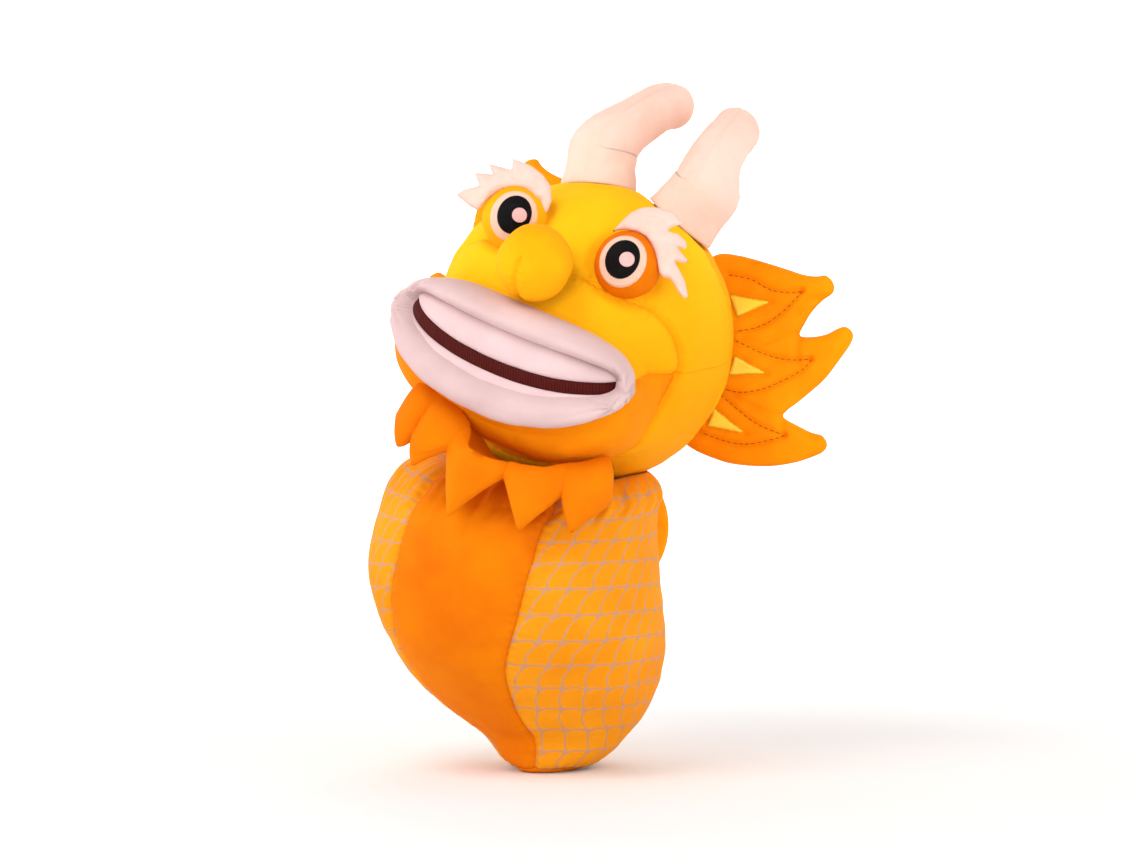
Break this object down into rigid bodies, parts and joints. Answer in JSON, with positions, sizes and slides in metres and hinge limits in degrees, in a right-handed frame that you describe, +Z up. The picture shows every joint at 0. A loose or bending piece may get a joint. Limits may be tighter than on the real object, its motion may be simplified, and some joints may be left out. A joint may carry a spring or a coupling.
{
  "type": "plush dragon toy",
  "caption": "Stuffed plush dragon with a big smiling head, soft horns, fin ears, spiked chin frill and a plump scale-print body on a flat base.",
  "frame": {"origin": "centre of the flat base patch the toy stands on", "axes": "+Z up, the toy faces -Y, its own left side is +X"},
  "size_m": [0.4256, 0.3408, 0.6215],
  "materials": {
    "torso_filling": "loose polyester fibre",
    "belly_panel": "short-pile velour",
    "left_side_panel": "short-pile velour",
    "right_side_panel": "short-pile velour",
    "base_panel": "short-pile velour",
    "neck_panel": "short-pile velour",
    "fin_filling": "loose polyester fibre",
    "fin_left_cloth": "short-pile velour",
    "fin_right_cloth": "short-pile velour",
    "head_filling": "loose polyester fibre",
    "back_left_panel": "short-pile velour",
    "back_right_panel": "short-pile velour",
    "crown_panel": "short-pile velour",
    "throat_panel": "short-pile velour",
    "muzzle_panel": "short-pile velour",
    "jaw_panel": "short-pile velour",
    "lip_filling": "loose polyester fibre",
    "lip_cover": "short-pile velour",
    "upper_teeth_panel": "short-pile velour",
    "lower_teeth_panel": "short-pile velour",
    "mouth_strip": "embroidered satin",
    "nose_filling": "loose polyester fibre",
    "nose_cover": "short-pile velour",
    "left_eye_mound": "short-pile velour",
    "left_eye_white": "short-pile velour",
    "left_iris": "embroidered satin",
    "left_highlight": "short-pile velour",
    "right_eye_mound": "short-pile velour",
    "right_eye_white": "short-pile velour",
    "right_iris": "embroidered satin",
    "right_highlight": "short-pile velour",
    "left_eyebrow": "short-pile velour",
    "right_eyebrow": "short-pile velour",
    "left_horn_seat": "short-pile velour",
    "right_horn_seat": "short-pile velour",
    "left_horn_filling": "loose polyester fibre",
    "left_horn_cover": "short-pile velour",
    "right_horn_filling": "loose polyester fibre",
    "right_horn_cover": "short-pile velour",
    "frill_filling": "loose polyester fibre",
    "frill_front_cloth": "short-pile velour",
    "frill_back_cloth": "short-pile velour",
    "left_ear_filling": "loose polyester fibre",
    "left_ear_front": "short-pile velour",
    "left_ear_back": "short-pile velour",
    "left_inset_upper": "short-pile velour",
    "left_inset_middle": "short-pile velour",
    "left_inset_lower": "short-pile velour",
    "right_ear_filling": "loose polyester fibre",
    "right_ear_front": "short-pile velour",
    "right_ear_back": "short-pile velour",
    "right_inset_upper": "short-pile velour",
    "right_inset_middle": "short-pile velour",
    "right_inset_lower": "short-pile velour"
  },
  "bodies": {
    "torso": {"torso_filling": "torso_filling", "belly_panel": "belly_panel", "left_side_panel": "left_side_panel", "right_side_panel": "right_side_panel", "base_panel": "base_panel", "neck_panel": "neck_panel"},
    "fin": {"fin_filling": "fin_filling", "fin_left_cloth": "fin_left_cloth", "fin_right_cloth": "fin_right_cloth"},
    "left_horn": {"left_horn_filling": "left_horn_filling", "left_horn_cover": "left_horn_cover"},
    "left_ear": {"left_ear_filling": "left_ear_filling", "left_ear_front": "left_ear_front", "left_ear_back": "left_ear_back", "left_inset_upper": "left_inset_upper", "left_inset_middle": "left_inset_middle", "left_inset_lower": "left_inset_lower"},
    "right_horn": {"right_horn_filling": "right_horn_filling", "right_horn_cover": "right_horn_cover"},
    "right_ear": {"right_ear_filling": "right_ear_filling", "right_ear_front": "right_ear_front", "right_ear_back": "right_ear_back", "right_inset_upper": "right_inset_upper", "right_inset_middle": "right_inset_middle", "right_inset_lower": "right_inset_lower"},
    "head": {"head_filling": "head_filling", "back_left_panel": "back_left_panel", "back_right_panel": "back_right_panel", "crown_panel": "crown_panel", "throat_panel": "throat_panel", "muzzle_panel": "muzzle_panel", "jaw_panel": "jaw_panel", "lip_filling": "lip_filling", "lip_cover": "lip_cover", "upper_teeth_panel": "upper_teeth_panel", "lower_teeth_panel": "lower_teeth_panel", "mouth_strip": "mouth_strip", "nose_filling": "nose_filling", "nose_cover": "nose_cover", "left_eye_mound": "left_eye_mound", "left_eye_white": "left_eye_white", "left_iris": "left_iris", "left_highlight": "left_highlight", "right_eye_mound": "right_eye_mound", "right_eye_white": "right_eye_white", "right_iris": "right_iris", "right_highlight": "right_highlight", "left_eyebrow": "left_eyebrow", "right_eyebrow": "right_eyebrow", "left_horn_seat": "left_horn_seat", "right_horn_seat": "right_horn_seat", "frill_filling": "frill_filling", "frill_front_cloth": "frill_front_cloth", "frill_back_cloth": "frill_back_cloth"}
  },
  "joints": [
    {"name": "head_tilt", "type": "hinge", "parent": "torso", "child": "head", "pos_m": [0.031, 0, 0.39], "axis": [0, 1, 0], "range_deg": [-9, 5], "stiffness_Nm_per_rad": 60},
    {"name": "fin_bend", "type": "hinge", "parent": "torso", "child": "fin", "pos_m": [0.003, 0.088, 0.213], "axis": [0, 0, 1], "range_deg": [-15, 15], "stiffness_Nm_per_rad": 1},
    {"name": "left_horn_bend", "type": "hinge", "parent": "head", "child": "left_horn", "pos_m": [0.13853, 0.02159, 0.51488], "axis": [0.9272, 0, -0.3746], "range_deg": [-10, 10], "stiffness_Nm_per_rad": 4},
    {"name": "left_ear_fold", "type": "hinge", "parent": "head", "child": "left_ear", "pos_m": [0.089, 0.08618, 0.2936], "axis": [0.1577, 0.0707, 0.985], "range_deg": [-3, 20], "stiffness_Nm_per_rad": 3},
    {"name": "right_horn_bend", "type": "hinge", "parent": "head", "child": "right_horn", "pos_m": [0.0404, 0.02159, 0.55452], "axis": [0.9272, 0, -0.3746], "range_deg": [-10, 10], "stiffness_Nm_per_rad": 4},
    {"name": "right_ear_fold", "type": "hinge", "parent": "head", "child": "right_ear", "pos_m": [-0.07769, 0.08618, 0.36095], "axis": [-0.5708, -0.0707, -0.8181], "range_deg": [-3, 20], "stiffness_Nm_per_rad": 3}
  ]
}
